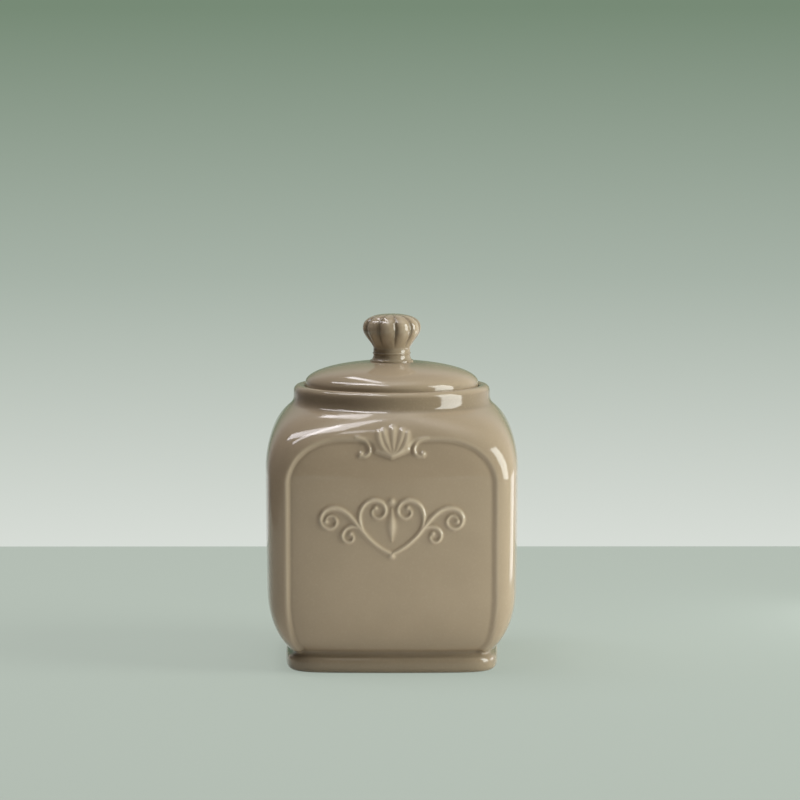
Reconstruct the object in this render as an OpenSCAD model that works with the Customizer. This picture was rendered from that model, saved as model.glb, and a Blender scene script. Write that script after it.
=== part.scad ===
// Lidded ceramic salt jar: a rounded-square slip-cast jar on a low plinth foot,
// with arched panels front and back, a round neck with an inner ledge,
// a domed lid that drops into the neck on a seal ring, and a lobed knob.
// Millimetres, +Z up, origin at the centre of the foot's underside.

/* [Jar body] */
// Greatest half width of the body, where the shoulder starts
body_half = 60.1; // [59.7:0.2:66]
// Height where the wall ends and the shoulder starts
shoulder_z = 92.5; // [80:0.5:94]
// Half width where the belly curve meets the wall
belly_half = 59.5; // [56:0.5:60]
// Height where the belly curve meets the wall
belly_z = 37; // [32:1:50]
// Half width of the body's lower edge, over the foot
base_half = 50.4; // [48:0.1:54]
// How square the body is in plan: 2 is a circle, higher is squarer
body_squareness = 11; // [8:0.5:13]
// How far the sides crown out between the corners
side_crown = 2.5; // [0:0.25:4]
// Thickness of the cast wall
wall = 5; // [4:0.25:6]
// Thickness of the floor
floor_t = 6; // [5:0.5:8]

/* [Foot] */
// How far the plinth foot stands out past the body's lower edge
foot_margin = 0.2; // [0.1:0.1:1]
// Height of the plinth foot
foot_h = 7.6; // [6:0.2:9]
// Rounding of the foot's edges
foot_round = 2.2; // [2:0.1:2.8]
// Height of the cove between the foot and the body
cove_h = 3; // [2.5:0.1:4]
// How square the foot is in plan
foot_squareness = 9; // [6:0.5:10]
// Width of the ring that the jar stands on
foot_ring_w = 9; // [6:0.5:12]
// Depth of the recess under the floor
foot_recess = 2; // [1:0.25:3]

/* [Shoulder and neck] */
// Slope of the shoulder where it meets the neck, in degrees
shoulder_slope = 42; // [36:1:50]
// Height of the lip
lip_z = 131.6; // [129:0.2:136]
// Outer radius of the neck band
neck_r = 46.9; // [46:0.1:48]
// Height of the neck band's straight side
band_h = 2.9; // [2.5:0.1:5]
// Radius of the fillet between the shoulder and the neck band
neck_fillet = 4.8; // [3:0.1:5.5]
// Rounding of the lip
lip_round = 2.6; // [1.5:0.1:3]

/* [Mouth] */
// Radius of the mouth that the lid's rim drops into
mouth_r = 41.8; // [41.4:0.1:42.4]
// Depth of the ledge under the lip
ledge_depth = 4; // [3:0.25:5]
// Width of the ledge that the lid rests on
ledge_w = 4.3; // [3.6:0.1:5]
// Rounding of the mouth's edge
mouth_round = 1.6; // [0.8:0.1:2]

/* [Panel] */
// Half width of the panel
panel_half = 48.4; // [44:0.2:51]
// How far the panel's sides turn in at its foot
panel_turn_in = 6; // [4:0.5:9]
// Height at which the panel's sides turn into the arches
panel_spring_z = 90; // [84:0.5:94]
// Height of the crown of the arches
panel_crown_z = 111; // [106:0.5:113]
// Half width of the arches' level crown
panel_level_half = 22; // [16:0.5:28]
// Depth of the panel under the body's surface
panel_depth = 1.2; // [0.8:0.1:1.6]

/* [Shell ornament] */
// Height of the shell's root
shell_z = 103.5; // [102:0.25:105]
// Radius of the web between the arches that carries the shell
web_r = 9; // [7:0.25:10]
// Length of a rib, from the root to its round end
rib_l = 9.6; // [8:0.2:10]
// Radius of a rib's round end
rib_r = 1.5; // [1:0.1:1.8]
// Number of ribs
rib_count = 5; // [3:2:7]
// Angle between one rib and the next
rib_step = 27; // [20:1:30]
// Radius of the bead that ends each arch's scroll
bead_r = 1.7; // [1.2:0.1:2]
// Distance of the beads from the middle of the panel
bead_x = 11.5; // [10:0.25:13]

/* [Lid] */
// Gap between the lid's rim and the mouth
lid_gap = 0.5; // [0.3:0.05:0.8]
// Height of the lid's rim over the ledge
rim_h = 5.1; // [4:0.1:6]
// Rise of the dome over the rim
dome_rise = 10.2; // [8:0.2:14]
// Thickness of the lid
lid_wall = 4.5; // [3.5:0.25:5]
// Length of the spigot that reaches down into the throat
spigot_h = 10; // [9:0.25:10.5]
// Gap between the spigot and the throat
spigot_gap = 1.7; // [1.4:0.1:2]

/* [Seal] */
// Height of the seal ring
seal_h = 4.4; // [3.6:0.2:5]
// Depth of the groove that the seal ring lies in
groove_depth = 1.6; // [1.3:0.1:2]
// Clearance of the seal ring in its groove and in the throat
seal_gap = 0.3; // [0.2:0.05:0.4]
// Number of fins round the seal ring
seal_fins = 2; // [2:1:3]

/* [Knob] */
// Greatest radius of the knob
knob_r = 13.9; // [12:0.1:16]
// Height of the knob over the lid's crown
knob_h = 22.7; // [20:0.1:26]
// Height of the widest ring over the lid's crown
knob_waist_h = 15.8; // [14:0.1:17]
// Radius of the knob's neck
knob_neck_r = 8.8; // [8:0.1:9.4]
// Radius of the knob's base on the crown
knob_base_r = 10.4; // [10:0.1:12]
// Number of lobes
knob_lobes = 10; // [8:1:12]
// Depth of the grooves between the lobes
knob_groove = 1.3; // [0.6:0.1:1.6]
// Height of the knob's neck, where the lobes start
collar_h = 6.6; // [6:0.1:7]
// Turn of the lobes about the knob's axis
knob_turn = -10; // [-18:1:18]

/* [Hidden] */

// Points round one ring of the jar's outside and of its inside, and round one lobe of the knob
outer_fn = 56;
inner_fn = 40;
lobe_fn = 8;
// Sides of turned surfaces
turned_fn = 96;
small_fn = 24;
// How far a cutter runs past what it cuts
cut = 1;

// How far points of a square ring are turned towards its corners, in degrees
corner_gather = 11.5;
// Angle that the belly's elliptical sweep turns through
belly_turn = 54;
// Power of the fall from square to round along the shoulder
round_off_power = 0.75;
// Rounding of the body's lower edge, and height of the slope under it
base_round = 1;
edge_slope_h = 0.8;

// Power of the knob's curve over its widest ring
bulb_top_power = 2.5;
// Upright edge and flare of the knob's base, and the raised line round its neck
base_edge_h = 0.6;
flare_h = 2.6;
line_h = 3.9;
line_r = 0.4;
// Step at the top of the neck, where the lobes stand out over it
bulb_step = 0.2;

foot_half = base_half + foot_margin;
cove_half = foot_half - foot_round;
base_z = foot_h + cove_h;
floor_z = foot_recess + floor_t;
band_z = lip_z - lip_round - band_h;
fillet_turn = 90 - shoulder_slope;
shoulder_top_z = band_z - neck_fillet * sin(fillet_turn);
shoulder_top_half = neck_r + neck_fillet * (1 - cos(fillet_turn));
shoulder_bend_z = shoulder_top_z - (body_half - shoulder_top_half) * tan(shoulder_slope);
ledge_z = lip_z - ledge_depth;
throat_r = mouth_r - ledge_w;
cavity_top_z = shoulder_top_z - wall;

rim_r = mouth_r - lid_gap;
rim_z = ledge_z + rim_h;
spigot_r = throat_r - spigot_gap;
spigot_z = ledge_z - spigot_h;
hollow_r = spigot_r - lid_wall;
crown_z = rim_z + dome_rise * sqrt(1 - pow(knob_base_r / rim_r, 2));
groove_r = spigot_r - groove_depth;
seal_z = ledge_z - spigot_h / 2;
seal_out_r = throat_r - seal_gap;
seal_in_r = groove_r + seal_gap;
seal_band_r = spigot_r;
bulb_foot_r = knob_neck_r + bulb_step;

// A quarter curve from 0 to 1: a power of 2 is an ellipse's
function quarter(u, power) = 1 - pow(1 - pow(u, power), 1 / power);

// A curve that leaves start towards bend, and comes from bend to finish, as u goes from 0 to 1
function curve(start, bend, finish, u) =
    pow(1 - u, 2) * start + 2 * u * (1 - u) * bend + pow(u, 2) * finish;

// One point of a plan that is a circle at squareness 2 and nears a crowned square above it
function plan_point(half, squareness, turn) =
    let (square_share = (squareness - 2) / (body_squareness - 2))
    let (angle = turn + corner_gather * square_share * sin(4 * turn))
    let (spread = pow(pow(abs(cos(angle)), squareness) + pow(abs(sin(angle)), squareness),
        -1 / squareness))
    let (x = spread * cos(angle), y = spread * sin(angle), crown = side_crown * square_share / half)
    [half * x * (1 - crown * pow(y, 2)), half * y * (1 - crown * pow(x, 2))];

function plan(half, squareness, count) =
    [for (i = [0 : count - 1]) plan_point(half, squareness, 360 * i / count)];

// Half width of the belly at a height under belly_z
function belly_half_at(z) =
    let (reach = (belly_z - base_z) / sin(belly_turn))
    let (spread = (belly_half - base_half) / (1 - cos(belly_turn)))
    belly_half - spread * quarter((belly_z - z) / reach, 2);

// Rings are [half width, height, squareness], from the bottom up
function foot_rings() = concat(
    [for (a = [0 : 22.5 : 90])
        [foot_half - foot_round * (1 - sin(a)), foot_round * (1 - cos(a)), foot_squareness]],
    [for (a = [0 : 22.5 : 90])
        [foot_half - foot_round * (1 - cos(a)), foot_h - foot_round * (1 - sin(a)), foot_squareness]]);

function edge_rings() = concat(
    [[cove_half, base_z - base_round - edge_slope_h, body_squareness]],
    [for (a = [0 : 30 : 60])
        [base_half - base_round * (1 - sin(a)), base_z - base_round * cos(a), body_squareness]]);

function belly_rings(inset) =
    [for (u = [0 : 1 / 6 : 1])
        let (z = base_z + (belly_z - base_z) * u)
        [belly_half_at(z) - inset, z, body_squareness]];

function wall_rings(inset) =
    [for (u = [1 / 3 : 1 / 3 : 1])
        [belly_half + (body_half - belly_half) * sin(90 * u) - inset,
         belly_z + (shoulder_z - belly_z) * u, body_squareness]];

// Half width of the shoulder at a height over shoulder_z
function shoulder_half_at(z) =
    let (rise = shoulder_bend_z - shoulder_z, more = shoulder_top_z - shoulder_bend_z - rise)
    let (u = (z - shoulder_z) / (rise + sqrt(pow(rise, 2) + more * (z - shoulder_z))))
    curve(body_half, body_half, shoulder_top_half, u);

// The shoulder climbs from the wall to the neck, and turns from square to round
function shoulder_rings(start_half, end_half, top_z) =
    [for (i = [1 : 10])
        let (u = i / 10, z = curve(shoulder_z, shoulder_bend_z, top_z, u))
        let (climb = (z - shoulder_z) / (top_z - shoulder_z))
        [curve(start_half, start_half, end_half, u), z,
         2 + (body_squareness - 2) * (1 - pow(climb, round_off_power))]];

function neck_rings() = concat(
    [for (k = [2 : -1 : 0])
        let (a = fillet_turn * k / 3)
        [neck_r + neck_fillet * (1 - cos(a)), band_z - neck_fillet * sin(a), 2]],
    [for (a = [0 : 22.5 : 90])
        [neck_r - lip_round * (1 - cos(a)), lip_z - lip_round * (1 - sin(a)), 2]]);

// A solid skinned over rings of n points each, and closed by a flat face at each end
module skin(points, n) {
    top = len(points) - n;
    bands = [for (start = [0 : n : top - n]) for (i = [0 : n - 1])
        let (a = start + i, b = start + (i + 1) % n)
        each [[a, a + n, b + n], [a, b + n, b]]];
    ends = [[for (i = [0 : n - 1]) i], [for (i = [n - 1 : -1 : 0]) top + i]];
    polyhedron(points, concat(bands, ends));
}

module loft(rings, n) {
    skin([for (r = rings) for (p = plan(r[0], r[2], n)) [p[0], p[1], r[1]]], n);
}

module outside() {
    loft(concat(foot_rings(), edge_rings(), belly_rings(0), wall_rings(0),
        shoulder_rings(body_half, shoulder_top_half, shoulder_top_z), neck_rings()), outer_fn);
}

module inside() {
    start = base_half - wall;
    loft(concat(
        [for (a = [0 : 30 : 60])
            [start - wall * (1 - sin(a)), floor_z + wall * (1 - cos(a)), body_squareness]],
        [for (r = belly_rings(wall)) if (r[1] > floor_z + wall) r],
        wall_rings(wall),
        shoulder_rings(body_half - wall, throat_r - cut, cavity_top_z)), inner_fn);
}

// Mouth, ledge and throat, turned in one
module mouth_cutter() {
    turn = [for (a = [0 : 25 : 75])
        [mouth_r + mouth_round * (1 - cos(a)), lip_z - mouth_round * (1 - sin(a))]];
    rotate_extrude($fn = turned_fn)
        polygon(concat(
            [[0, cavity_top_z - cut], [throat_r, cavity_top_z - cut], [throat_r, ledge_z], [mouth_r, ledge_z]],
            turn,
            [[turn[3][0], lip_z + cut], [0, lip_z + cut]]));
}

// Outline of the panel seen from the front: sides that follow the belly, an arch that
// rises to a level crown, and a round web that parts the crown in two
module panel_outline() {
    side = [for (u = [0 : 1 / 6 : 1])
        let (z = base_z + (belly_z - base_z) * u)
        [panel_half - panel_turn_in * quarter(1 - u, 2), z]];
    arch = [for (a = [0 : 9 : 90])
        [panel_level_half + (panel_half - panel_level_half) * cos(a),
         panel_spring_z + (panel_crown_z - panel_spring_z) * sin(a)]];
    right = concat([[side[0][0], foot_h + cut]], side, arch);
    difference() {
        polygon(concat(right, [for (i = [len(right) - 1 : -1 : 0]) [-right[i][0], right[i][1]]]));
        translate([0, shell_z + web_r])
            circle(web_r, $fn = small_fn);
    }
}

// What the panels take off the wall, front and back, down to a skin set back by their depth
module panel_cutter() {
    difference() {
        rotate([90, 0, 0])
            linear_extrude(2 * (body_half + cut), center = true)
                panel_outline();
        loft(concat(
            [[base_half - panel_depth, foot_h, body_squareness]],
            belly_rings(panel_depth),
            wall_rings(panel_depth),
            shoulder_rings(body_half - panel_depth, shoulder_top_half - panel_depth, shoulder_top_z)),
            outer_fn);
    }
}

// A fan of round-ended ribs on the web, and the beads that end the arches' scrolls
module shell_ornament() {
    tip_z = shell_z + rib_l;
    lean = atan((shoulder_half_at(shell_z) - shoulder_half_at(tip_z)) / rib_l);
    translate([0, -shoulder_half_at(shell_z), shell_z])
        rotate([-lean, 0, 0]) {
            for (k = [0 : rib_count - 1])
                rotate([0, (k - (rib_count - 1) / 2) * rib_step, 0]) {
                    cylinder(h = rib_l - rib_r, r1 = rib_r / 2, r2 = rib_r, $fn = small_fn);
                    translate([0, 0, rib_l - rib_r])
                        sphere(rib_r, $fn = small_fn);
                }
            for (side = [-1, 1])
                translate([side * bead_x, panel_depth / 2, bead_r])
                    sphere(bead_r, $fn = small_fn);
        }
}

module jar_body() {
    color("#9c8e7a") {
        difference() {
            outside();
            inside();
            mouth_cutter();
            translate([0, 0, -cut])
                linear_extrude(foot_recess + cut)
                    polygon(plan(foot_half - foot_ring_w, foot_squareness, inner_fn));
            panel_cutter();
        }
        for (turn = [0, 180])
            rotate([0, 0, turn])
                shell_ornament();
    }
}

// The lid is turned: rim, dome and a hollow spigot with a groove for the seal
module lid() {
    groove_h = seal_h + 2 * seal_gap;
    dome_end = acos(knob_base_r / rim_r);
    color("#bbb3ac")
        rotate_extrude($fn = turned_fn)
            polygon(concat(
                [[hollow_r, spigot_z], [spigot_r, spigot_z],
                 [spigot_r, seal_z - groove_h / 2], [groove_r, seal_z - groove_h / 2],
                 [groove_r, seal_z + groove_h / 2], [spigot_r, seal_z + groove_h / 2],
                 [spigot_r, ledge_z], [rim_r, ledge_z]],
                [for (k = [0 : 16])
                    let (a = dome_end * k / 16)
                    [rim_r * cos(a), rim_z + dome_rise * sin(a)]],
                [[0, crown_z], [0, crown_z - lid_wall]],
                [for (k = [1 : 8])
                    let (a = 90 * k / 8)
                    [hollow_r * sin(a), ledge_z + (crown_z - lid_wall - ledge_z) * cos(a)]]));
}

// A flat band that lies in the groove, with fins that reach for the throat
module lid_seal() {
    fin_h = seal_h / (2 * seal_fins + 1);
    color("#e4e0d8")
        rotate_extrude($fn = turned_fn)
            translate([0, seal_z - seal_h / 2])
                union() {
                    translate([seal_in_r, 0])
                        square([seal_band_r - seal_in_r, seal_h]);
                    for (k = [0 : seal_fins - 1])
                        translate([0, fin_h * (2 * k + 1)])
                            polygon([[seal_band_r - seal_gap, 0], [seal_out_r, fin_h / 3],
                                     [seal_out_r, fin_h * 2 / 3], [seal_band_r - seal_gap, fin_h]]);
                }
}

// Rings of the knob's bulb are [radius, height over the crown, share of the groove's depth]
function bulb_rings() = concat(
    [for (u = [1 : -1 / 6 : 1 / 7])
        let (swell = cos(90 * u) * (1 + cos(90 * u)) / 2)
        [bulb_foot_r + (knob_r - bulb_foot_r) * swell,
         knob_waist_h - (knob_waist_h - collar_h) * u, swell]],
    [for (a = [0 : 12 : 84])
        let (shrink = 1 - quarter(sin(a), bulb_top_power))
        [knob_r * shrink, knob_waist_h + (knob_h - knob_waist_h) * sin(a), shrink]]);

// Dip between two lobes, from 0 on a lobe's back to 1 in the groove
function lobe_dip(i) =
    let (across = 2 * (i % lobe_fn) / lobe_fn - 1)
    1 - sqrt(1 - pow(across, 2));

module bulb() {
    n = knob_lobes * lobe_fn;
    skin([for (r = bulb_rings()) for (i = [0 : n - 1])
        let (reach = r[0] - knob_groove * r[2] * lobe_dip(i), turn = 360 * i / n)
        [reach * cos(turn), reach * sin(turn), r[1]]], n);
}

// The knob's neck: a flared base, a thin raised line and a core that runs up into the bulb
module knob_neck() {
    flare = [for (a = [0 : 15 : 90])
        [knob_base_r - (knob_base_r - knob_neck_r) * sin(a), base_edge_h + flare_h * (1 - cos(a))]];
    rotate_extrude($fn = turned_fn)
        polygon(concat(
            [[0, 0], [knob_base_r, 0]],
            flare,
            [[knob_neck_r, collar_h + cut], [0, collar_h + cut]]));
    translate([0, 0, line_h])
        rotate_extrude($fn = turned_fn)
            translate([knob_neck_r, 0])
                circle(line_r, $fn = small_fn);
}

module knob() {
    color("#c1b59c")
        translate([0, 0, crown_z])
            rotate([0, 0, knob_turn]) {
                knob_neck();
                bulb();
            }
}

jar_body();
lid();
lid_seal();
knob();
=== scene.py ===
"""A lidded salt jar of glossy taupe stoneware, put together as it is made: the cast jar with its
panels, shell and scrollwork, the soft seal, the turned lid and the lobed knob.
The jar's sizes are in millimetres and become metres as each mesh is placed. The studio is in metres."""

import math

import bmesh
import bpy
import numpy as np
from mathutils import Matrix, Vector


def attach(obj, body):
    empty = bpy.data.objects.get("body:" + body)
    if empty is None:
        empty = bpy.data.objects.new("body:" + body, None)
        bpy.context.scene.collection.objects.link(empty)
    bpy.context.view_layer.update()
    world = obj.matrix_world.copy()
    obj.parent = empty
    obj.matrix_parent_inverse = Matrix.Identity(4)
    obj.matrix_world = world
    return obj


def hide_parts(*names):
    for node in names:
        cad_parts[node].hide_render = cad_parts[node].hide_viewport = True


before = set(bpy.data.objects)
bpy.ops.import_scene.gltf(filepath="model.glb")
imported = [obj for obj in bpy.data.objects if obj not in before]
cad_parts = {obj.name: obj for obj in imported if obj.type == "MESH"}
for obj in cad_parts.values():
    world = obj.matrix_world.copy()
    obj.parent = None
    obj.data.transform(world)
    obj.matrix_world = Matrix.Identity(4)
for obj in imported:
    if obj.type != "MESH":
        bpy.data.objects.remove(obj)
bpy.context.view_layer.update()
MM = 0.001

# The jar
# One piece of slip-cast stoneware: plinth foot, rounded-square walls, shoulder, neck and the
# inner ledge for the lid. It is glazed all over but for the ring it stands on.

body_half = 60.1  # half of the greatest width, at the foot of the shoulder
shoulder_z = 92.5
belly_half = 59.5
belly_z = 37.0  # below this height the wall draws in to the foot
belly_turn = math.radians(54)
base_half = 50.4
base_round = 1.0
body_squareness = 11.0  # power of the plan's curve: the higher, the squarer
round_plan = 2.0  # the same power for a circle
round_off_power = 0.75  # how early the shoulder turns from square to round
side_crown = 2.5  # how far the middle of a side stands out past its ends
wall = 5.0
floor_z = 8.0

foot_half = 50.6
foot_h = 7.6
foot_round = 2.2
foot_squareness = 9.0
foot_ring_w = 9.0  # the ring that the jar stands on
foot_recess = 2.0
ring_edge = 0.5
cove_h = 3.0  # the hollow line between foot and wall
cove_edge = 0.6
cove_in = 0.7
cove_low = 1.0

lip_z = 131.6
lip_round = 2.6
neck_r = 46.9
neck_fillet = 4.8
band_h = 2.9  # the plain band of the neck under its lip
shoulder_slope = math.radians(42)
mouth_r = 41.8
mouth_round = 1.6
ledge_z = 127.6  # the shelf that the lid's rim rests on
ledge_round = 0.6
throat_r = 37.5
throat_edge = 1.0

base_z = foot_h + cove_h
band_z = lip_z - lip_round - band_h
fillet_turn = math.pi / 2 - shoulder_slope
shoulder_top_z = band_z - neck_fillet * math.sin(fillet_turn)
shoulder_top_half = neck_r + neck_fillet * (1 - math.cos(fillet_turn))
shoulder_bend_z = shoulder_top_z - (body_half - shoulder_top_half) * math.tan(shoulder_slope)
cavity_top_z = shoulder_top_z - wall


def quarter(u, power):
    """A quarter curve from 0 to 1: a power of 2 is an ellipse's."""
    return 1 - (1 - u**power) ** (1 / power)


def curve(start, bend, finish, u):
    """A curve that leaves start towards bend, and comes from bend to finish, as u goes from 0 to 1."""
    return (1 - u) ** 2 * start + 2 * u * (1 - u) * bend + u**2 * finish


def arc(center, radius, start, end, steps, squareness):
    """Part of a circle in the profile, as rings of half width, height and squareness."""
    turns = np.radians(np.linspace(start, end, steps))
    return [(center[0] + radius * math.cos(t), center[1] + radius * math.sin(t), squareness) for t in turns]


def wall_profile(inset):
    """The wall from the base up to the shoulder, moved in by the inset."""
    rings = []
    reach = (belly_z - base_z) / math.sin(belly_turn)
    spread = (belly_half - base_half) / (1 - math.cos(belly_turn))
    for z in np.linspace(base_z, belly_z, 60):
        rings.append((belly_half - spread * quarter((belly_z - z) / reach, 2) - inset, z, body_squareness))
    for u in np.linspace(0.02, 1, 60):
        half = belly_half + (body_half - belly_half) * math.sin(u * math.pi / 2)
        rings.append((half - inset, belly_z + (shoulder_z - belly_z) * u, body_squareness))
    return rings


def shoulder_profile(start_half, end_half, top_z):
    """The shoulder climbs from the wall to the neck, and turns from square to round."""
    rings = []
    for u in np.linspace(0.01, 1, 90):
        z = curve(shoulder_z, shoulder_bend_z, top_z, u)
        climb = min((z - shoulder_z) / (top_z - shoulder_z), 1.0)
        squareness = round_plan + (body_squareness - round_plan) * (1 - climb**round_off_power)
        rings.append((curve(start_half, start_half, end_half, u), z, squareness))
    return rings


cove_squareness = (foot_squareness + body_squareness) / 2
outside_profile = (
    arc((foot_half - foot_round, foot_round), foot_round, -90, 0, 10, foot_squareness)
    + arc((foot_half - foot_round, foot_h - foot_round), foot_round, 0, 90, 10, foot_squareness)
    + [(foot_half - foot_round - cove_edge, foot_h + cove_edge / 2, cove_squareness),
       (foot_half - foot_round - cove_in, foot_h + cove_low, body_squareness)]
    + arc((base_half - base_round, base_z), base_round, -80, -5, 8, body_squareness)
    + wall_profile(0)
    + shoulder_profile(body_half, shoulder_top_half, shoulder_top_z)
    + [(neck_r + neck_fillet * (1 - math.cos(t)), band_z - neck_fillet * math.sin(t), round_plan)
       for t in np.linspace(fillet_turn * 0.9, 0, 14)]
    + arc((neck_r - lip_round, lip_z - lip_round), lip_round, 0, 90, 14, round_plan)
)
mouth_profile = (
    arc((mouth_r + mouth_round, lip_z - mouth_round), mouth_round, 90, 180, 9, round_plan)
    + [(mouth_r, ledge_z + ledge_round, round_plan),
       (mouth_r - ledge_round / 3, ledge_z + ledge_round / 4, round_plan),
       (mouth_r - ledge_round, ledge_z, round_plan),
       (throat_r + ledge_round, ledge_z, round_plan),
       (throat_r + ledge_round / 4, ledge_z - ledge_round / 4, round_plan),
       (throat_r, ledge_z - ledge_round, round_plan),
       (throat_r, cavity_top_z + throat_edge, round_plan),
       (throat_r + throat_edge * 0.2, cavity_top_z + throat_edge * 0.3, round_plan)]
)
# Inside, where no light shows the shape, every ninth ring is enough.
inside_stride = 9
inside_profile = (
    shoulder_profile(body_half - wall, throat_r + throat_edge / 2, cavity_top_z)[::-inside_stride]
    + [ring for ring in wall_profile(wall)[::-inside_stride] if ring[1] > floor_z + wall]
    + arc((base_half - 2 * wall, floor_z + wall), wall, 0, -90, 8, body_squareness)
)
ring_half = foot_half - foot_ring_w
foot_profile = [
    (ring_half - ring_edge, foot_recess, foot_squareness),
    (ring_half, foot_recess - ring_edge * 0.8, foot_squareness),
    (ring_half + ring_edge, ring_edge * 0.4, foot_squareness),
    (ring_half + ring_edge * 2.4, 0.0, foot_squareness),
]


def spaced(rings, fine, coarse, fine_from, fine_to):
    """The same profile with rings at an even distance, closer together between two heights."""
    rings = np.array(rings)
    steps = np.hypot(*np.diff(rings[:, :2], axis=0).T)
    middles = (rings[1:, 1] + rings[:-1, 1]) / 2
    wanted = np.where((middles > fine_from) & (middles < fine_to), fine, coarse)
    along = np.concatenate([[0], np.cumsum(steps / wanted)])
    at = np.linspace(0, along[-1], int(along[-1]) + 1)
    return np.stack([np.interp(at, along, rings[:, k]) for k in range(3)], axis=1)


# Rings stand close together over the scrollwork and the shell.
ring_fine = 0.55
ring_coarse = 1.3
ring_fine_from = 54
ring_fine_to = 120
outside_start = len(foot_profile)
outside_rings = spaced(outside_profile, ring_fine, ring_coarse, ring_fine_from, ring_fine_to)
outside_end = outside_start + len(outside_rings)
rings = np.concatenate([foot_profile, outside_rings, mouth_profile, inside_profile])


def plan_reach(turn, squareness):
    """How far a plan of unit half width reaches from the axis, at each turn about it."""
    sides = np.abs(np.cos(turn)) ** squareness + np.abs(np.sin(turn)) ** squareness
    return sides ** (-1 / squareness)


# Columns stand close together where the front's relief is, and wider apart at the sides and back.
front_step = 0.46
front_edge_step = 0.65
corner_step = 1.1
side_step = 3.6
back_step = 1.0
relief_half = 36.0
panel_reach = 52.0
side_reach = 48.0
around = np.linspace(0, 2 * math.pi, 14401)
plan_x = body_half * plan_reach(around, body_squareness) * np.sin(around)
plan_y = -body_half * plan_reach(around, body_squareness) * np.cos(around)
on_panel = np.abs(plan_x) < panel_reach
on_side = (np.abs(plan_x) > panel_reach) & (np.abs(plan_y) < side_reach)
front_steps = np.where(on_panel, front_edge_step, corner_step)
front_steps = np.where(np.abs(plan_x) < relief_half, front_step, front_steps)
back_steps = np.where(on_panel, back_step, corner_step)
column_step = np.where(on_side, side_step, np.where(plan_y > 0, back_steps, front_steps))
walked = np.concatenate([[0], np.cumsum(np.hypot(np.diff(plan_x), np.diff(plan_y)) / column_step[1:])])
column_count = int(walked[-1])
column_turn = np.interp(np.linspace(0, walked[-1], column_count + 1), walked, around)

# The outline of a panel: sides that follow the belly, and arches that end beside the shell.
panel_half = 48.4
panel_spring_z = 90.0  # where the side lines bend into the arches
panel_crown_z = 111.0
panel_level_half = 22.0  # where the arches run level
panel_start_below = 4.0
panel_turn_in = 6.0
arch_power = 0.92
curl_half = 14.0  # where the arches bend down to the web under the shell
web_half = 8.0
web_z = 106.0
web_point = 2.9


def panel_side(z):
    """Half width of the panel at a height: its sides turn in a little towards the foot."""
    below = np.clip((belly_z - z) / (belly_z - base_z), 0, 1)
    return panel_half - panel_turn_in * quarter(below, 2)


def panel_line():
    """Right half of the panel's outline from the foot to the middle, as x and height."""
    side = [(panel_side(z), z) for z in np.linspace(base_z - panel_start_below, panel_spring_z, 50)]
    arch = [(panel_level_half + (panel_half - panel_level_half) * math.cos(t) ** arch_power,
             panel_spring_z + (panel_crown_z - panel_spring_z) * math.sin(t))
            for t in np.radians(np.linspace(2, 90, 40))]
    curl = [(web_half + (curl_half - web_half) * (1 - math.sin(t)),
             web_z + (panel_crown_z - web_z) * math.cos(t))
            for t in np.radians(np.linspace(0, 84, 16))]
    web = [(web_half * u, web_z - web_point * (1 - u)) for u in np.linspace(0.95, 0, 10)]
    return np.array(side + arch + curl + web)


def smooth(x):
    """A soft step from 0 to 1."""
    x = np.clip(x, 0, 1)
    return x * x * (3 - 2 * x)


nearly_zero = 1e-9


def distance_to(line, x, z):
    """Distance of every point to a line of short pieces, and how far along it the nearest point is."""
    best = np.full(x.shape, np.inf)
    where = np.zeros(x.shape)
    for k in range(len(line) - 1):
        ax, az = line[k]
        dx, dz = line[k + 1] - line[k]
        t = np.clip(((x - ax) * dx + (z - az) * dz) / max(dx * dx + dz * dz, nearly_zero), 0, 1)
        d = (x - ax - t * dx) ** 2 + (z - az - t * dz) ** 2
        closer = d < best
        best = np.where(closer, d, best)
        where = np.where(closer, (k + t) / (len(line) - 1), where)
    return np.sqrt(best), where


def inside_line(line, x, z):
    """Which points lie inside the closed outline that the half line and its mirror image make."""
    loop = np.concatenate([line, line[::-1] * [-1, 1]])
    hit = np.zeros(x.shape, bool)
    for (ax, az), (bx, bz) in zip(loop, np.roll(loop, -1, axis=0)):
        if az == bz:
            continue
        crosses = (az > z) != (bz > z)
        hit ^= crosses & (x < (bx - ax) * (z - az) / (bz - az) + ax)
    return hit


def scroll_line(start, heading, bends, length, steps=70):
    """A drawn scroll: a line whose bend, in degrees a millimetre, changes evenly along its length."""
    s = np.linspace(0, length, steps)
    bend = np.radians(np.interp(s, np.linspace(0, length, len(bends)), bends))
    turn = math.radians(heading) + np.concatenate([[0], np.cumsum((bend[1:] + bend[:-1]) / 2 * np.diff(s))])
    middle = (turn[1:] + turn[:-1]) / 2
    return np.stack([start[0] + np.concatenate([[0], np.cumsum(np.cos(middle) * np.diff(s))]),
                     start[1] + np.concatenate([[0], np.cumsum(np.sin(middle) * np.diff(s))])], axis=1)


flank_steepness = 1.1
thin_line_share = 0.5  # a raised line that narrows gets lower too, down to this share of its height


def ridge(line, x, z, half_widths, height):
    """Height of a rounded raised line, whose half width changes evenly along it."""
    d, t = distance_to(line, x, z)
    w = np.interp(t, np.linspace(0, 1, len(half_widths)), half_widths)
    narrowing = np.clip(w / max(half_widths), thin_line_share, 1)
    return height * np.exp(-((d / w) ** 2) * flank_steepness) * narrowing


def bead(center, x, z, radius, height):
    """Height of a round raised bead."""
    away = ((x - center[0]) ** 2 + (z - center[1]) ** 2) / radius**2
    return height * np.exp(-away * flank_steepness)


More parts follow.
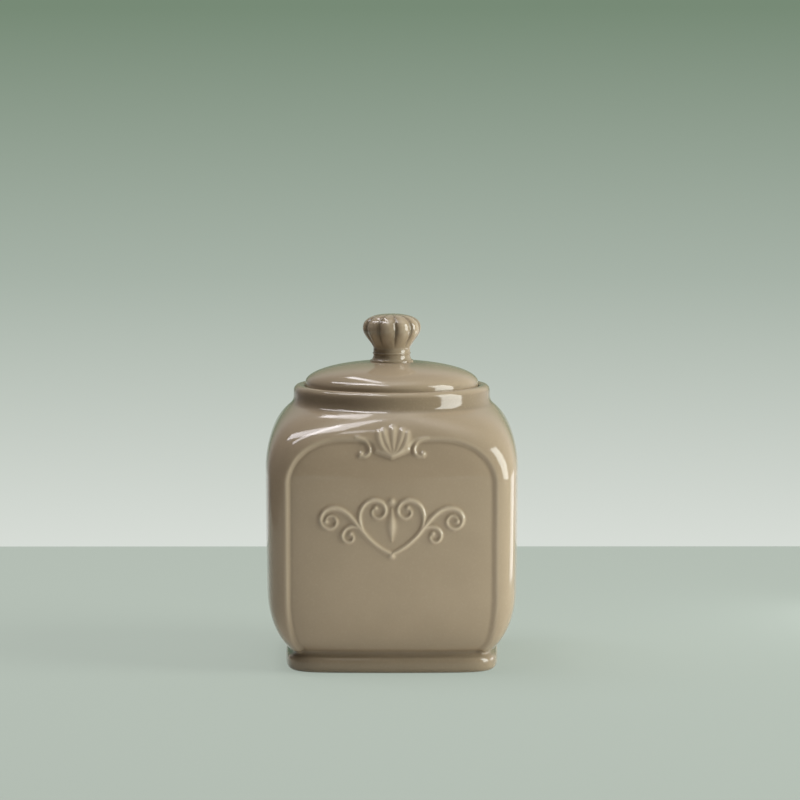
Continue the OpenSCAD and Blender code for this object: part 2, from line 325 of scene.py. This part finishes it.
# The shell: ribs that fan out from a root, and beside it the arch's two ends, rolled up into scrolls.
# Each rib has its line, drawn from the root, and its half widths from the root to the tip.
shell_x = 0.7
shell_root_z = 103.8
rib_height = 0.7
ribs = [
    (scroll_line((0.0, 0.0), 90, [0, 0], 11.2, 12), (0.7, 1.1, 1.5, 1.9)),
    (scroll_line((0.2, 0.0), 62, [0.6, 2.0], 11.2, 16), (0.6, 1.0, 1.4, 1.7)),
    (scroll_line((0.3, -0.2), 32, [1.5, 6.5, 4.0], 12.4, 20), (0.7, 1.1, 1.5, 1.5)),
]
side_scroll = scroll_line((17.0, 111.9), 187, [2.0, 8.0, 13, 20, 34], 15.5, 36)
side_scroll_widths = (0.5, 0.8, 0.9, 0.8, 0.7)
side_scroll_height = 0.6
side_eye_r = 1.3
side_eye_height = 0.65


def shell_height(x, z):
    """Height of the shell and its scrolls over the web."""
    height = np.zeros(x.shape)
    across, up = np.abs(x - shell_x), z - shell_root_z
    for line, half_widths in ribs:
        height = np.maximum(height, ridge(line, across, up, half_widths, rib_height))
    height = np.maximum(height, ridge(side_scroll, np.abs(x), z, side_scroll_widths, side_scroll_height))
    return np.maximum(height, bead(side_scroll[-1], np.abs(x), z, side_eye_r, side_eye_height))


# Scrollwork in the middle of the front panel, the same on the left and the right: lines with their
# half widths, an eye where a scroll ends, and a bead at the middle's top and bottom.
flourish_z = 71.5
flourish_height = 0.95
stem = scroll_line((0.5, flourish_z - 13.5), 24, [1.6, 1.9, 1.2, -1.5, -6.0, -10.5, -14.0, -19, -27], 64)
inner_scroll = scroll_line(tuple(stem[13]), 44, [3.4, 4.0, 6.6, 9.2, 12.5, 18, 27], 44)
lower_scroll = scroll_line(tuple(stem[19]), 40, [-7.5, -10, -13, -18, -25, -34], 22)
leaf = scroll_line((0.0, flourish_z - 7.5), 90, [0, 0], 15.0, 12)
flourish_lines = [
    (stem, (0.8, 0.95, 1.0, 0.95, 0.8, 0.6)),
    (inner_scroll, (0.6, 0.85, 0.9, 0.75, 0.6)),
    (lower_scroll, (0.6, 0.8, 0.7, 0.6)),
    (leaf, (0.5, 1.3, 1.8, 1.7, 1.1, 0.5)),
]
scroll_eyes = [stem[-1], inner_scroll[-1], lower_scroll[-1]]
scroll_eye_r = 1.1
middle_beads = [(0, flourish_z - 14.6), (0, flourish_z + 10.8)]
middle_bead_r = 1.4


def flourish(x, z):
    """Height of the scrollwork."""
    x = np.abs(x)
    height = np.zeros(x.shape)
    for line, half_widths in flourish_lines:
        height = np.maximum(height, ridge(line, x, z, half_widths, flourish_height))
    for place in scroll_eyes:
        height = np.maximum(height, bead(place, x, z, scroll_eye_r, flourish_height))
    for place in middle_beads:
        height = np.maximum(height, bead(place, x, z, middle_bead_r, flourish_height))
    return height


panel_depth = 1.25
panel_step_w = 2.4
web_rise_share = 0.5  # how much less the panel is sunk under the shell
pool_half = 0.9
crest_half = 0.8
thinnest_at = 0.9  # the glaze is at its thinnest on relief of this height
crest_break = 0.45
step_pool = 0.3


def panel_relief(x, z, scrolls):
    """Height of the cast relief over the plain wall, and how far the glaze breaks or pools on it."""
    line = panel_line()
    d, _ = distance_to(line, np.abs(x), z)
    d = np.where(inside_line(line, x, z), d, -d)
    sunk = smooth(d / panel_step_w + 0.5)
    shell = shell_height(x, z)
    raised = np.maximum(shell, flourish(x, z) if scrolls else 0)
    height = raised - panel_depth * sunk * (1 - np.clip(shell, 0, 1) * web_rise_share)
    pool = np.exp(-(((d - panel_step_w * 0.5) / pool_half) ** 2))
    crest = np.exp(-(((d + panel_step_w * 0.3) / crest_half) ** 2))
    glaze = raised / thinnest_at + crest_break * crest - step_pool * pool
    return height, glaze


base = np.zeros((len(rings), column_count + 1, 3))
for k, (half, z, squareness) in enumerate(rings):
    reach = plan_reach(column_turn, squareness)
    x = half * reach * np.sin(column_turn)
    y = -half * reach * np.cos(column_turn)
    crown = side_crown * (squareness - round_plan) / (body_squareness - round_plan) / half
    base[k, :, 0] = x * (1 - crown * (y / half) ** 2)
    base[k, :, 1] = y * (1 - crown * (x / half) ** 2)
    base[k, :, 2] = z

across = np.gradient(base, axis=1)
upward = np.gradient(base, axis=0)
outward = np.cross(across, upward)
outward /= np.maximum(np.linalg.norm(outward, axis=2, keepdims=True), nearly_zero)

# The relief is worked out a little past the panels' edges. Only the front has the scrollwork.
relief_past = 3
relief_over = 1
height = np.zeros(base.shape[:2])
glaze = np.zeros(base.shape[:2])
on_wall = np.zeros(len(rings), bool)
on_wall[outside_start:outside_end] = True
for facing in (-1, 1):
    face = (base[:, :, 1] * facing > 0) & (np.abs(base[:, :, 0]) < panel_reach + relief_past)
    face &= on_wall[:, None] & (base[:, :, 2] > foot_h + relief_over)
    face &= base[:, :, 2] < shoulder_top_z + relief_over
    x = base[:, :, 0][face] * -facing
    height[face], glaze[face] = panel_relief(x, base[:, :, 2][face], facing < 0)

# Painted shade: the glaze is made darker on the foot and in the hollow over it, and in the fillet under the
# neck and along its band, where those parts lie in shade.
foot_painted_shade = 0.3
foot_painted_shade_h = 4.5
neck_painted_shade = 0.6
neck_painted_shade_h = 2
for k in range(outside_start, outside_end):
    z = rings[k, 1]
    over_fillet = smooth((z - shoulder_top_z + 1) / neck_painted_shade_h)
    under_band = 1 - smooth((z - band_z - band_h) / neck_painted_shade_h)
    glaze[k] -= foot_painted_shade * (1 - smooth((z - foot_h) / foot_painted_shade_h)) + neck_painted_shade * over_fillet * under_band
placed = base + outward * height[:, :, None]


def finished(name, bm):
    """The scene's object of a finished bmesh, at the origin."""
    mesh = bpy.data.meshes.new(name)
    bm.to_mesh(mesh)
    bm.free()
    piece = bpy.data.objects.new(name, mesh)
    bpy.context.scene.collection.objects.link(piece)
    return piece


def closed_mesh(name, grid, values):
    """A closed skin over a grid of rings: the sheet is rolled up, its seam welded and its ends filled.
    Each point keeps its value, which says how thin or deep the glaze lies there and where painted shade
    darkens it."""
    ring_count, point_count = grid.shape[0], grid.shape[1]
    bm = bmesh.new()
    bmesh.ops.create_grid(bm, x_segments=point_count - 1, y_segments=ring_count - 1, size=1)
    layer = bm.verts.layers.float.new("glaze")
    bm.verts.ensure_lookup_table()
    for v in bm.verts:
        column = round((v.co.x + 1) / 2 * (point_count - 1))
        ring = round((v.co.y + 1) / 2 * (ring_count - 1))
        v.co = Vector(grid[ring, column]) * MM
        v[layer] = values[ring, column]
    bmesh.ops.remove_doubles(bm, verts=bm.verts, dist=0.01 * MM)
    bmesh.ops.holes_fill(bm, edges=[e for e in bm.edges if e.is_boundary], sides=0)
    bmesh.ops.recalc_face_normals(bm, faces=bm.faces)
    # The two filled ends have many sides, and stay flat.
    for f in bm.faces:
        f.smooth = len(f.verts) <= 4
    return finished(name, bm)


class Signal:
    """What one socket of a material gives, with Python's operators for its maths."""

    def __init__(self, socket):
        self.socket = socket

    def _math(self, operation, a, b):
        return add(self.socket.id_data, "ShaderNodeMath", {"operation": operation}, {0: a, 1: b})

    def __add__(self, other):
        return self._math("ADD", self, other)

    def __sub__(self, other):
        return self._math("SUBTRACT", self, other)

    def __rsub__(self, other):
        return self._math("SUBTRACT", other, self)

    def __mul__(self, other):
        return self._math("MULTIPLY", self, other)

    def __pow__(self, other):
        return self._math("POWER", self, other)

    def __gt__(self, other):
        return self._math("GREATER_THAN", self, other)

    __radd__, __rmul__ = __add__, __mul__


def add(tree, kind, settings, values, output=0):
    """A new node: its settings first, then the value or link of each socket."""
    node = tree.nodes.new(kind)
    for key, value in settings.items():
        if key == "stops":
            ramp = node.color_ramp.elements
            while len(ramp) < len(value):
                ramp.new(0.5)
            for element, (position, color) in zip(ramp, value):
                element.position, element.color = position, color
        else:
            setattr(node, key, value)
    for key, value in values.items():
        if isinstance(value, Signal):
            tree.links.new(value.socket, node.inputs[key])
        else:
            node.inputs[key].default_value = value
    return Signal(node.outputs[output])


def blend(tree, share, a, b, kind="RGBA"):
    """Goes from a to b with the share: colours, or plain numbers where the kind is FLOAT."""
    return add(tree, "ShaderNodeMix", {"data_type": kind}, {"Factor": share, "A": a, "B": b}, "Result")


def between(tree, value, low, high):
    """0 at the low value and 1 at the high one, evenly between them."""
    return add(tree, "ShaderNodeMapRange", {"clamp": True},
               {"Value": value, "From Min": low, "From Max": high})


def part_of(tree, vector, axis):
    """The X, Y or Z of a place or a direction."""
    return add(tree, "ShaderNodeSeparateXYZ", {}, {"Vector": vector}, axis)


taupe = (0.372, 0.296, 0.200, 1)
pale_taupe = (0.60, 0.51, 0.37, 1)
dark_taupe = (0.17, 0.13, 0.08, 1)
bare_clay = (0.56, 0.49, 0.40, 1)
glaze_roughness = 0.09
clay_roughness = 0.8
glaze_ior = 1.52
cloud_scale = 38
fleck_scale = 900
unevenness = 0.25
thin_from, thin_to = 0.05, 1.0
pool_and_shade_from, pool_and_shade_to = -0.05, -0.8
thin_share, pool_and_shade_share = 0.75, 0.7
cloud_middle, cloud_share = 0.42, 0.35
fleck_middle, fleck_share = 0.5, 0.25


def glaze_material(name, bare_from, bare_to):
    """A glossy glaze that runs thin and pale over crests and pools dark in hollows, where painted shade is
    laid on as more of that dark, with the clay wiped bare between two heights, where the piece stood in the
    kiln."""
    material = bpy.data.materials.new(name)
    material.use_nodes = True
    tree = material.node_tree
    shader = tree.nodes["Principled BSDF"]
    place = add(tree, "ShaderNodeTexCoord", {}, {}, "Object")
    level = add(tree, "ShaderNodeAttribute", {"attribute_name": "glaze"}, {}, "Fac")
    cloud = add(tree, "ShaderNodeTexNoise", {}, {"Vector": place, "Scale": cloud_scale, "Detail": 3})
    fleck = add(tree, "ShaderNodeTexNoise", {}, {"Vector": place, "Scale": fleck_scale, "Detail": 2})
    coat = level + (cloud - 0.5) * unevenness
    thin = between(tree, coat, thin_from, thin_to)
    # the dark of pooled glaze, and the painted shade laid on the same way
    pool_and_shade = between(tree, coat, pool_and_shade_from, pool_and_shade_to)
    color = blend(tree, thin * thin_share, taupe, pale_taupe)
    color = blend(tree, pool_and_shade * pool_and_shade_share, color, dark_taupe)
    color = blend(tree, (cloud - cloud_middle) * cloud_share, color, dark_taupe)
    color = blend(tree, (fleck - fleck_middle) * fleck_share, color, pale_taupe)
    height_now = part_of(tree, place, "Z")
    bare = (height_now > bare_from * MM) * (1 - (height_now > bare_to * MM))
    color = blend(tree, bare, color, bare_clay)
    rough = blend(tree, bare, glaze_roughness, clay_roughness, "FLOAT")
    tree.links.new(color.socket, shader.inputs["Base Color"])
    tree.links.new(rough.socket, shader.inputs["Roughness"])
    shader.inputs["IOR"].default_value = glaze_ior
    return material


jar_bare_from, jar_bare_to = -0.5, 0.35
jar = closed_mesh("glazed_jar", placed, glaze)
jar.data.materials.append(glaze_material("taupe_glaze", jar_bare_from, jar_bare_to))
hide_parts("jar_body")
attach(jar, "jar")

# The seal
# A soft silicone ring that is stretched over the lid's spigot and lies in its groove. Two fins
# reach for the throat and keep damp air from the salt.

spigot_r = 35.8
groove_r = 34.2
seal_z = 122.6
seal_h = 4.4
seal_gap = 0.3
seal_round = 0.2
seal_seam = 0.1
seal_in_r = groove_r + seal_gap
seal_out_r = throat_r - seal_gap


def turned_mesh(name, profile, steps):
    """A body of revolution: its profile, as radius and height, is spun once round and closed."""
    bm = bmesh.new()
    chain = [bm.verts.new((max(r, 0) * MM, 0, z * MM)) for r, z in profile]
    edges = [bm.edges.new(pair) for pair in zip(chain, chain[1:])]
    if profile[0][0] > 0 and profile[-1][0] > 0:
        edges.append(bm.edges.new((chain[-1], chain[0])))
    bmesh.ops.spin(bm, geom=chain + edges, axis=(0, 0, 1), cent=(0, 0, 0), angle=2 * math.pi,
                   steps=steps, use_merge=True)
    bmesh.ops.remove_doubles(bm, verts=bm.verts, dist=0.002 * MM)
    bmesh.ops.recalc_face_normals(bm, faces=bm.faces)
    for f in bm.faces:
        f.smooth = True
    return finished(name, bm)


def rounded(corners, radius, steps=4):
    """A profile with each of its corners rounded off, up to the radius."""
    side_share = 0.45
    corners = np.array(corners, float)
    out = [tuple(corners[0])]
    for before, here, after in zip(corners, corners[1:], corners[2:]):
        back, ahead = before - here, after - here
        reach = min(radius, np.linalg.norm(back) * side_share, np.linalg.norm(ahead) * side_share)
        start = here + back / np.linalg.norm(back) * reach
        end = here + ahead / np.linalg.norm(ahead) * reach
        for t in np.linspace(0, 1, steps + 1):
            out.append(tuple(curve(start, here, end, t)))
    out.append(tuple(corners[-1]))
    return out


# The seal's height is five equal layers, and its fins are the second and the fourth.
layer_h = seal_h / 5
seal_low = seal_z - seal_h / 2
seal_high = seal_z + seal_h / 2
fin_layers = (1, 3)
fin_outline_shares = [(spigot_r, 0), (seal_out_r, 0.3), (seal_out_r, 0.6), (spigot_r, 1)]
fins = [(r, seal_low + layer_h * (k + share)) for k in fin_layers for r, share in fin_outline_shares]
seal_corners = (
    [(seal_in_r, seal_z), (seal_in_r, seal_low), (spigot_r, seal_low)] + fins
    + [(spigot_r, seal_high), (seal_in_r, seal_high), (seal_in_r, seal_z + seal_seam)]
)
seal = turned_mesh("silicone_seal", rounded(seal_corners, seal_round), 120)
silicone = bpy.data.materials.new("clear_silicone")
silicone.use_nodes = True
shader = silicone.node_tree.nodes["Principled BSDF"]
shader.inputs["Base Color"].default_value = (0.72, 0.70, 0.65, 1)
shader.inputs["Roughness"].default_value = 0.38
shader.inputs["IOR"].default_value = 1.41
seal.data.materials.append(silicone)
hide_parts("lid_seal")
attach(seal, "seal")

# The lid
# Turned from the same stoneware: a low dome whose rim drops into the mouth and rests on the
# ledge, over a hollow spigot with a groove for the seal. The rim's underside is left bare.

rim_r = 41.3
rim_z = 132.7
rim_edge = 1
dome_rise = 10.2
crown_z = 142.58  # where the dome meets the knob's foot
spigot_z = 117.6
groove_h = 5.0
lid_wall = 4.5
lid_round = 0.7
lid_bare_from, lid_bare_to = ledge_z - 0.2, ledge_z + 0.3
hollow_start = 0.08  # the hollow's dome starts a little above its spring, as a turn
hollow_r = spigot_r - lid_wall
hollow_spring_z = ledge_z - 2
lid_corners = [
    (hollow_r, hollow_spring_z), (hollow_r, spigot_z), (spigot_r, spigot_z),
    (spigot_r, seal_z - groove_h / 2), (groove_r, seal_z - groove_h / 2),
    (groove_r, seal_z + groove_h / 2), (spigot_r, seal_z + groove_h / 2),
    (spigot_r, ledge_z), (rim_r, ledge_z), (rim_r, rim_z - rim_edge),
]
dome = [(rim_r * math.cos(t), rim_z + dome_rise * math.sin(t)) for t in np.linspace(0, math.pi / 2, 60)]
hollow = [(hollow_r * math.cos(t), hollow_spring_z + (crown_z - lid_wall - hollow_spring_z) * math.sin(t))
          for t in np.linspace(math.pi / 2, hollow_start, 16)]
lid = turned_mesh("domed_lid", hollow + rounded(lid_corners, lid_round) + dome, 192)
lid.data.materials.append(glaze_material("lid_glaze_coat", lid_bare_from, lid_bare_to))
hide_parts("lid")
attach(lid, "lid")

# The knob
# A lobed bulb on a flared neck, pressed in a mould and luted onto the lid's crown before the
# glaze went on, which lies thin on the backs of the lobes and dark between them, made darker still there as
# painted shade.

knob_r = 13.9
knob_h = 22.64
knob_waist_h = 15.8  # where the bulb is widest
knob_neck_r = 8.8
knob_base_r = 10.4
collar_h = 6.6  # where the neck swells into the bulb
sunk_h = 0.6
base_edge_h = 0.6
flare_h = 2.6
line_h = 3.9  # the raised line round the neck
line_r = 0.35
line_edge = 0.3
collar_edge = 0.8
collar_swell = 0.02
bulb_power = 2.5
knob_lobes = 10
knob_groove = 1.3
groove_sharpness = 0.985
knob_turn = math.radians(-10)
lobe_columns = 18
top_opening = 0.03  # the last ring stops short of the axis by this turn, and is filled
no_bare_from, no_bare_to = -1.0, -0.5  # under the table, because the knob is glazed all over

# Each ring has its radius, its height over the crown, and its share of the lobes' depth.
knob_rings = [(knob_base_r, up, 0.0) for up in (-sunk_h, 0.0, base_edge_h * 0.7)]
knob_rings += [(knob_base_r - (knob_base_r - knob_neck_r) * math.sin(t),
                base_edge_h + flare_h * (1 - math.cos(t)), 0.0)
               for t in np.linspace(0, math.pi / 2, 10)]
knob_rings += [(knob_neck_r + line_r * math.cos(t), line_h + line_r * math.sin(t), 0.0)
               for t in np.radians(np.linspace(-80, 80, 7))]
knob_rings += [(knob_neck_r, line_h + line_r + line_edge, 0.0),
               (knob_neck_r + collar_swell, collar_h - collar_edge, 0.0)]
for u in np.linspace(1, 0.04, 22):
    swell = math.cos(u * math.pi / 2) * (1 + math.cos(u * math.pi / 2)) / 2
    radius = knob_neck_r + (knob_r - knob_neck_r) * swell
    knob_rings.append((radius, knob_waist_h - (knob_waist_h - collar_h) * u, swell))
for t in np.linspace(0, math.pi / 2 - top_opening, 30):
    shrink = 1 - quarter(math.sin(t), bulb_power)
    knob_rings.append((knob_r * shrink, knob_waist_h + (knob_h - knob_waist_h) * math.sin(t), shrink))

# Across a lobe the dip goes from 0 on its back to 1 in the groove at either side.
lobe_turn = np.linspace(0, 2 * math.pi, knob_lobes * lobe_columns + 1)
over = 2 * ((np.arange(len(lobe_turn)) % lobe_columns) / lobe_columns) - 1
dip = (1 - np.sqrt(1 - (groove_sharpness * over) ** 2)) / (1 - math.sqrt(1 - groove_sharpness**2))
lobe_crest = 0.4
# painted shade: the grooves between the lobes are darkened beyond the glaze's own pooling there
groove_pool_and_shade = 2.2
groove_pool_and_shade_power = 0.8
bulb = np.zeros((len(knob_rings), len(lobe_turn), 3))
knob_glaze_and_shade = np.zeros(bulb.shape[:2])
for k, (radius, up, share) in enumerate(knob_rings):
    reach = radius - knob_groove * share * dip
    bulb[k, :, 0] = reach * np.cos(lobe_turn + knob_turn)
    bulb[k, :, 1] = reach * np.sin(lobe_turn + knob_turn)
    bulb[k, :, 2] = crown_z + up
    knob_glaze_and_shade[k] = (lobe_crest - groove_pool_and_shade * dip**groove_pool_and_shade_power) * share
knob = closed_mesh("lobed_knob", bulb, knob_glaze_and_shade)
knob.data.materials.append(glaze_material("knob_glaze_coat", no_bare_from, no_bare_to))
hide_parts("knob")
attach(knob, "lid")

# The table
# A plain pale table top with a matt face. The camera, gloss and glass see it an even grey-green.
# The light that it throws up on the jar is a white card's, with painted shade that darkens it towards the
# left, so the jar's left side lies darker.

table_front = -0.8
table_back = 0.382
table_left = -0.5
table_right = 0.9
corners = [(table_left, table_front), (table_right, table_front),
           (table_right, table_back), (table_left, table_back)]
bm = bmesh.new()
bm.faces.new([bm.verts.new((x, y, 0)) for x, y in corners])
table = finished("table", bm)


def background_rays(tree, where=1):
    """1 for the rays that show the background: the camera's, and those off gloss and through glass."""
    seen_by_camera, gloss, glass = [add(tree, "ShaderNodeLightPath", {}, {}, kind)
                                    for kind in ("Is Camera Ray", "Is Glossy Ray", "Is Transmission Ray")]
    return add(tree, "ShaderNodeMath", {"operation": "ADD", "use_clamp": True},
               {0: seen_by_camera, 1: (gloss + glass) * where})


# painted shade: for the light that it throws up, the table is darker to the left, so the jar's left side lies
# darker
bounce_shade_x, bounce_white_x = -0.45, 0.1
bounce_shade_left, bounce_white_right = (0.22, 0.21, 0.20, 1), (0.90, 0.89, 0.87, 1)
table_shade = (0.135, 0.15, 0.135, 1)
table_glow = (0.326, 0.370, 0.326, 1)
black = (0, 0, 0, 1)
top = bpy.data.materials.new("pale_table_top")
top.use_nodes = True
tree = top.node_tree
seen = background_rays(tree)
across_table = part_of(tree, add(tree, "ShaderNodeTexCoord", {}, {}, "Object"), "X")
card = blend(tree, between(tree, across_table, bounce_shade_x, bounce_white_x), bounce_shade_left, bounce_white_right)
matt = tree.nodes["Principled BSDF"].inputs
tree.links.new(blend(tree, seen, card, table_shade).socket, matt["Base Color"])
tree.links.new(blend(tree, seen, black, table_glow).socket, matt["Emission Color"])
matt["Emission Strength"].default_value = 1
matt["Roughness"].default_value = 1.0
matt["Specular IOR Level"].default_value = 0.0
table.data.materials.append(top)

# The room
# The wall behind the table, nearly white at the table's edge and green-grey above. The rest of
# the room is a dim warm white that glows at the back, at the back right and at the ceiling.

wall_foot, wall_head = -0.137, 0.0  # upward part of the direction in which they are seen
wall_stops = [
    (0.0, (0.68, 0.717, 0.672, 1)),
    (0.5, (0.385, 0.447, 0.388, 1)),
    (1.0, (0.184, 0.254, 0.181, 1)),
]
wall_edge, wall_full = 0.80, 0.95  # rearward part of the direction in which gloss sees the wall
right_share, back_share = 0.82, 0.57
room_white = (1.0, 0.98, 0.95, 1)
room_dim = 0.04
back_glow, right_back_glow, ceiling_glow = 0.6, 0.5, 1.8
wide, narrow = 4, 16
world = bpy.data.worlds.new("studio")
world.use_nodes = True
bpy.context.scene.world = world
tree = world.node_tree


def toward(direction):
    """How far a ray goes in a direction, and 0 if it goes the other way."""
    return add(tree, "ShaderNodeMath", {"operation": "MAXIMUM"}, {0: direction, 1: 0})


direction = add(tree, "ShaderNodeTexCoord", {}, {}, "Generated")
rightward, behind, above = [part_of(tree, direction, axis) for axis in "XYZ"]
seen = background_rays(tree, between(tree, behind, wall_edge, wall_full))
climb = between(tree, above, wall_foot, wall_head)
wall_color = add(tree, "ShaderNodeValToRGB", {"stops": wall_stops}, {"Fac": climb}, "Color")
room_color = blend(tree, seen, room_white, wall_color)
right_back = rightward * right_share + behind * back_share
room_light = (toward(behind) ** wide * back_glow + toward(right_back) ** wide * right_back_glow
              + toward(above) ** narrow * ceiling_glow + room_dim)
tree.links.new(room_color.socket, tree.nodes["Background"].inputs["Color"])
tree.links.new((seen + (1 - seen) * room_light).socket, tree.nodes["Background"].inputs["Strength"])

# The lamps
# Soft lamps, each where the glaze shows its highlight: a window at the right, four strips over
# the jar, a small card behind its right edge, and the light that comes back off the table.


def softbox(name, start, end, width, power, color, aim=(0, 0, 0.1)):
    """A long soft lamp that reaches from start to end and shines at a point."""
    start, end, aim = Vector(start), Vector(end), Vector(aim)
    middle = (start + end) / 2
    along = (end - start).normalized()
    back = (middle - aim - along * (middle - aim).dot(along)).normalized()
    light = bpy.data.lights.new(name, "AREA")
    light.shape = "RECTANGLE"
    light.size = (end - start).length
    light.size_y = width
    light.energy = power
    light.color = color
    lamp = bpy.data.objects.new(name, light)
    lamp.matrix_world = Matrix((along, back.cross(along), back)).transposed().to_4x4()
    lamp.location = middle
    lamp.visible_camera = False
    bpy.context.scene.collection.objects.link(lamp)
    return lamp


day_white = (0.96, 1.0, 0.96)
strip_white = (0.97, 0.95, 1.0)
card_white = (0.97, 0.97, 1.0)
warm_white = (1.0, 0.98, 0.95)
softbox("window", (1.15, -0.34, 0.0), (1.15, -0.34, 1.3), width=0.63, power=20.0, color=day_white)
softbox("long_light", (-0.96, 0.585, 1.215), (-0.10, -0.393, 1.215), width=0.25, power=7.0, color=strip_white)
gleam = softbox("short_light", (-0.92, -0.08, 1.2), (-0.24, -0.08, 1.2), width=0.17, power=2.5,
                color=strip_white)
gleam.visible_diffuse = False
softbox("ceiling_light", (-0.34, 1.1, 1.2), (-0.13, 0.1, 1.2), width=0.1, power=1.9, color=strip_white)
softbox("small_light", (-0.21, -0.62, 1.2), (-0.05, -0.82, 1.2), width=0.08, power=0.3, color=strip_white)
bounce = softbox("table_bounce", (-0.05, -0.19, 0.001), (0.23, -0.19, 0.001), width=0.2, power=0.13,
                 color=warm_white, aim=(0.09, -0.19, 1))
bounce.visible_glossy = False
softbox("card", (0.27, 0.10, 0.0), (0.27, 0.10, 0.088), width=0.14, power=0.11, color=card_white)

# The camera
# Nearly level and straight in front, as far off as the photograph's narrow angle needs.

camera_place = (0.0, -1.852, 0.311)
camera_tilt = 5.77
camera_swing = -0.122
focal_pixels = 3890
frame_pixels = 800
camera_data = bpy.data.cameras.new("camera")
camera_data.sensor_width = 36
camera_data.lens = focal_pixels / frame_pixels * camera_data.sensor_width
camera = bpy.data.objects.new("camera", camera_data)
camera.location = camera_place
camera.rotation_euler = (math.radians(90 - camera_tilt), 0, math.radians(camera_swing))
bpy.context.scene.collection.objects.link(camera)
bpy.context.scene.camera = camera
bpy.context.scene.view_settings.view_transform = "Standard"

bpy.context.view_layer.update()
